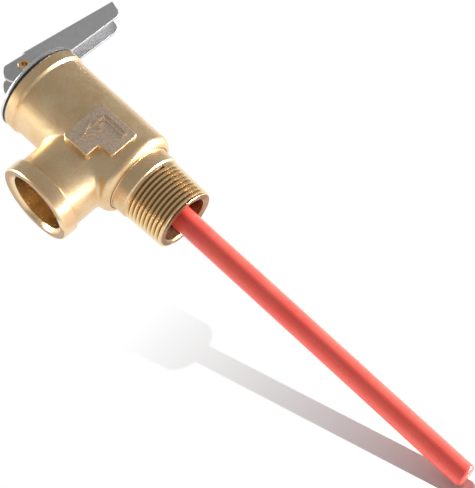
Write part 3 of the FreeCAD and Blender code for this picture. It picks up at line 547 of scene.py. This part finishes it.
class VALVE_OT_cap(bpy.types.Operator):
    """Steel cap plate, its gasket and the plug under it"""
    bl_idname = "valve.cap"
    bl_label = "Cap"

    def execute(self, context):
        steel = context.scene.valve_steel_settings
        body = context.scene.valve_body_settings
        paint_node("cap_plate", polished_steel(steel))
        rubber = soft_rubber("gasket_rubber", (0.015, 0.015, 0.016), (0.03, 0.03, 0.03), 0.5)
        paint_node("cap_gasket", rubber)
        paint_node("adjusting_plug", turned_brass("turned_plug", (0, 0, 0), "Z", 0.4,
                                                  body.turned_pale, body.turned_deep))
        return {"FINISHED"}


class VALVE_OT_lever(bpy.types.Operator):
    """Test lever, its rivet and the stem's head"""
    bl_idname = "valve.lever"
    bl_label = "Test lever"

    def execute(self, context):
        steel = context.scene.valve_steel_settings
        body = context.scene.valve_body_settings
        piece = merged_copy("test_lever", "folded_lever")
        set_material(piece, rolled_steel(steel))
        soften_edges(piece, steel.edge_round, segments=3)
        place_piece(piece, "lever", "stainless", "test_lever")
        tones = (body.turned_pale, body.turned_deep)
        paint_node("lever_pin", turned_brass("rivet_brass", PIN_AXIS, "Y", 0.3, *tones))
        paint_node("stem", turned_brass("stem_brass", (0, 0, 0), "Z", 0.3, *tones))
        return {"FINISHED"}


class VALVE_OT_probe(bpy.types.Operator):
    """Red probe sleeve and the thermostat's metal pieces"""
    bl_idname = "valve.probe"
    bl_label = "Probe"

    def execute(self, context):
        settings = context.scene.valve_probe_settings
        body = context.scene.valve_body_settings
        paint_node("probe_coating", red_plastic(settings))
        copper = turned_brass("drawn_copper", (0, 0, 0), "Z", 0.5, (0.72, 0.36, 0.22), (0.60, 0.28, 0.16))
        paint_node("thermostat_tube", copper)
        turned = turned_brass("turned_small_parts", (0, 0, 0), "Z", 0.3,
                              body.turned_pale, body.turned_deep)
        for node in ("thermostat_head", "thermostat_spider", "disc_holder", "disc_screw"):
            paint_node(node, turned)
        return {"FINISHED"}


class VALVE_OT_working_parts(bpy.types.Operator):
    """Spring, seals, washers, clips and the wax charge"""
    bl_idname = "valve.working_parts"
    bl_label = "Working parts"

    def execute(self, context):
        steel = context.scene.valve_steel_settings
        satin = rolled_steel(steel)
        wire = wire_steel()
        for node in ("upper_spring_seat", "disc_washer", "thermostat_piston"):
            paint_node(node, satin)
        for node in ("load_spring", "stem_clip", "spider_ring"):
            paint_node(node, wire)
        seal = soft_rubber("seal_silicone", (0.50, 0.10, 0.05), (0.38, 0.07, 0.04), 0.45)
        for node in ("seat_disc", "piston_seal"):
            paint_node(node, seal)
        paint_node("stem_seal", soft_rubber("ring_rubber", (0.02, 0.02, 0.02), (0.04, 0.04, 0.04), 0.4))
        paint_node("wax_charge", soft_rubber("thermostat_wax", (0.85, 0.80, 0.66), (0.75, 0.70, 0.55), 0.5))
        return {"FINISHED"}


def in_view(right, up, back):
    """A direction given by its parts along the camera's right, up and backward directions."""
    return (CAMERA_RIGHT * right + CAMERA_UP * up + CAMERA_BACK * back).normalized()


def softbox(name, aim, direction, distance, size, power, colour=(1, 1, 1)):
    """An area light that faces the aim from a direction, unseen by the camera itself."""
    light = bpy.data.lights.new(name, "AREA")
    light.shape = "RECTANGLE"
    light.size, light.size_y = size
    light.energy = power
    light.color = colour
    lamp = bpy.data.objects.new(name, light)
    lamp.location = aim + direction * distance
    lamp.rotation_euler = direction.to_track_quat("Z", "Y").to_euler()
    lamp.visible_camera = False
    bpy.context.scene.collection.objects.link(lamp)
    return lamp


def light_only(lamp, name, things, state="INCLUDE"):
    """Let a lamp light only these things, or with EXCLUDE everything else."""
    receivers = bpy.data.collections.new(name)
    for thing in things:
        receivers.objects.link(thing)
    lamp.light_linking.receiver_collection = receivers
    for item in receivers.collection_objects:
        item.light_linking.link_state = state


class VALVE_OT_stage(bpy.types.Operator):
    """Pale floor, soft studio light and the camera"""
    bl_idname = "valve.stage"
    bl_label = "Stage"

    def execute(self, context):
        settings = context.scene.valve_stage_settings
        scene = context.scene
        tip = Vector((0, 0, PROBE_TIP))
        upright = in_view(0, math.cos(settings.floor_tilt), math.sin(settings.floor_tilt))
        floor = self.make_floor(settings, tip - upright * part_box("probe_coating")[1].x, upright)
        self.make_lights(scene, floor, tip)
        self.make_world(scene)
        camera = bpy.data.cameras.new("camera")
        camera.lens = settings.lens
        camera.sensor_width = 36
        camera.clip_start, camera.clip_end = 0.01, 50
        view = bpy.data.objects.new("camera", camera)
        turn = Matrix((CAMERA_RIGHT, CAMERA_UP, CAMERA_BACK)).transposed()
        view.matrix_world = Matrix.Translation(CAMERA_PLACE) @ turn.to_4x4()
        scene.collection.objects.link(view)
        scene.camera = view
        scene.view_settings.view_transform = "Standard"
        return {"FINISHED"}

    def make_floor(self, settings, spot, upright):
        mesh = bpy.data.meshes.new("floor")
        shape = bmesh.new()
        bmesh.ops.create_circle(shape, cap_ends=True, segments=settings.floor_sides,
                                radius=settings.floor_reach)
        bmesh.ops.transform(shape, verts=shape.verts, matrix=Matrix.Translation(spot)
                            @ upright.to_track_quat("Z", "Y").to_matrix().to_4x4())
        shape.to_mesh(mesh)
        shape.free()
        floor = bpy.data.objects.new("floor", mesh)
        bpy.context.scene.collection.objects.link(floor)
        material = bpy.data.materials.new("pale_floor_painted_glow")
        material.use_nodes = True
        tree = material.node_tree
        tree.nodes.clear()
        # Painted light: white emission takes over from the diffuse floor the farther it lies from the probe tip,
        # fading the cast shadow away from the tip.
        place = add(tree, "ShaderNodeMapping", {
            "Vector": add(tree, "ShaderNodeTexCoord").outputs["Object"], "Location": -spot}).outputs[0]
        reach = add(tree, "ShaderNodeVectorMath", {0: place}, operation="LENGTH").outputs["Value"]
        glow = in_range(tree, reach, 0.0, settings.glow_reach)
        paper = add(tree, "ShaderNodeBsdfDiffuse", {"Color": (0.60, 0.60, 0.60, 1)})
        lit = add(tree, "ShaderNodeEmission", {"Color": (1, 1, 1, 1), "Strength": 1.0})
        table = add(tree, "ShaderNodeMixShader", {0: glow, 1: paper.outputs[0], 2: lit.outputs[0]})
        clear = add(tree, "ShaderNodeBsdfTransparent")
        behind = add(tree, "ShaderNodeNewGeometry").outputs["Backfacing"]
        both = add(tree, "ShaderNodeMixShader", {0: behind, 1: table.outputs[0], 2: clear.outputs[0]})
        add(tree, "ShaderNodeOutputMaterial", {"Surface": both.outputs[0]})
        set_material(floor, material)
        return floor

    def make_lights(self, scene, floor, tip):
        middle = Vector((0, 0, 0.02))
        key = softbox("floor_key", tip * 0.4, in_view(-0.03, 0.95, 0.31), 2.0, (0.05, 0.05), 75)
        light_only(key, "floor_only", [floor])
        others = [
            softbox("right_box", middle, in_view(1.0, 0.0, 0.05), 0.9, (0.30, 1.2), 40),
            softbox("left_box", middle, in_view(-1.0, 0.05, -0.1), 0.9, (0.3, 1.2), 16, (1.0, 0.97, 0.86)),
        ]
        for number, lamp in enumerate(others):
            light_only(lamp, f"not_floor_{number}", [floor], "EXCLUDE")

    def make_world(self, scene):
        world = bpy.data.worlds.new("studio")
        world.use_nodes = True
        tree = world.node_tree
        tree.nodes.clear()
        seen = add(tree, "ShaderNodeLightPath").outputs["Is Camera Ray"]
        pale = add(tree, "ShaderNodeBackground", {"Color": (1, 1, 1, 1), "Strength": 1.0})
        soft = add(tree, "ShaderNodeBackground", {"Color": (1.0, 1.0, 1.0, 1), "Strength": 0.36})
        both = add(tree, "ShaderNodeMixShader", {0: seen, 1: soft.outputs[0], 2: pale.outputs[0]})
        add(tree, "ShaderNodeOutputWorld", {"Surface": both.outputs[0]})
        scene.world = world


class VALVE_PT_finish(bpy.types.Panel):
    """Builders of the valve's visible pieces"""
    bl_idname = "VALVE_PT_finish"
    bl_label = "Relief valve"
    bl_space_type = "VIEW_3D"
    bl_region_type = "UI"
    bl_category = "Valve"

    def draw(self, context):
        for step in STEPS:
            self.layout.operator(step.bl_idname)
        for name in SETTINGS:
            group = getattr(context.scene, name)
            for item in group.bl_rna.properties:
                if item.identifier not in ("rna_type", "name"):
                    self.layout.prop(group, item.identifier)


STEPS = (VALVE_OT_stage, VALVE_OT_casting, VALVE_OT_cap, VALVE_OT_lever, VALVE_OT_probe,
         VALVE_OT_working_parts)
SETTINGS = {
    "valve_body_settings": BodySettings,
    "valve_steel_settings": SteelSettings,
    "valve_probe_settings": ProbeSettings,
    "valve_stage_settings": StageSettings,
}


def register():
    for item in (*SETTINGS.values(), *STEPS, VALVE_PT_finish):
        bpy.utils.register_class(item)
    for name, group in SETTINGS.items():
        setattr(bpy.types.Scene, name, PointerProperty(type=group))


def unregister():
    for name in SETTINGS:
        delattr(bpy.types.Scene, name)
    for item in reversed((*SETTINGS.values(), *STEPS, VALVE_PT_finish)):
        bpy.utils.unregister_class(item)


def main():
    register()
    bpy.ops.valve.stage()
    bpy.ops.valve.casting()
    bpy.ops.valve.cap()
    bpy.ops.valve.lever()
    bpy.ops.valve.probe()
    bpy.ops.valve.working_parts()


if __name__ == "__main__":
    main()
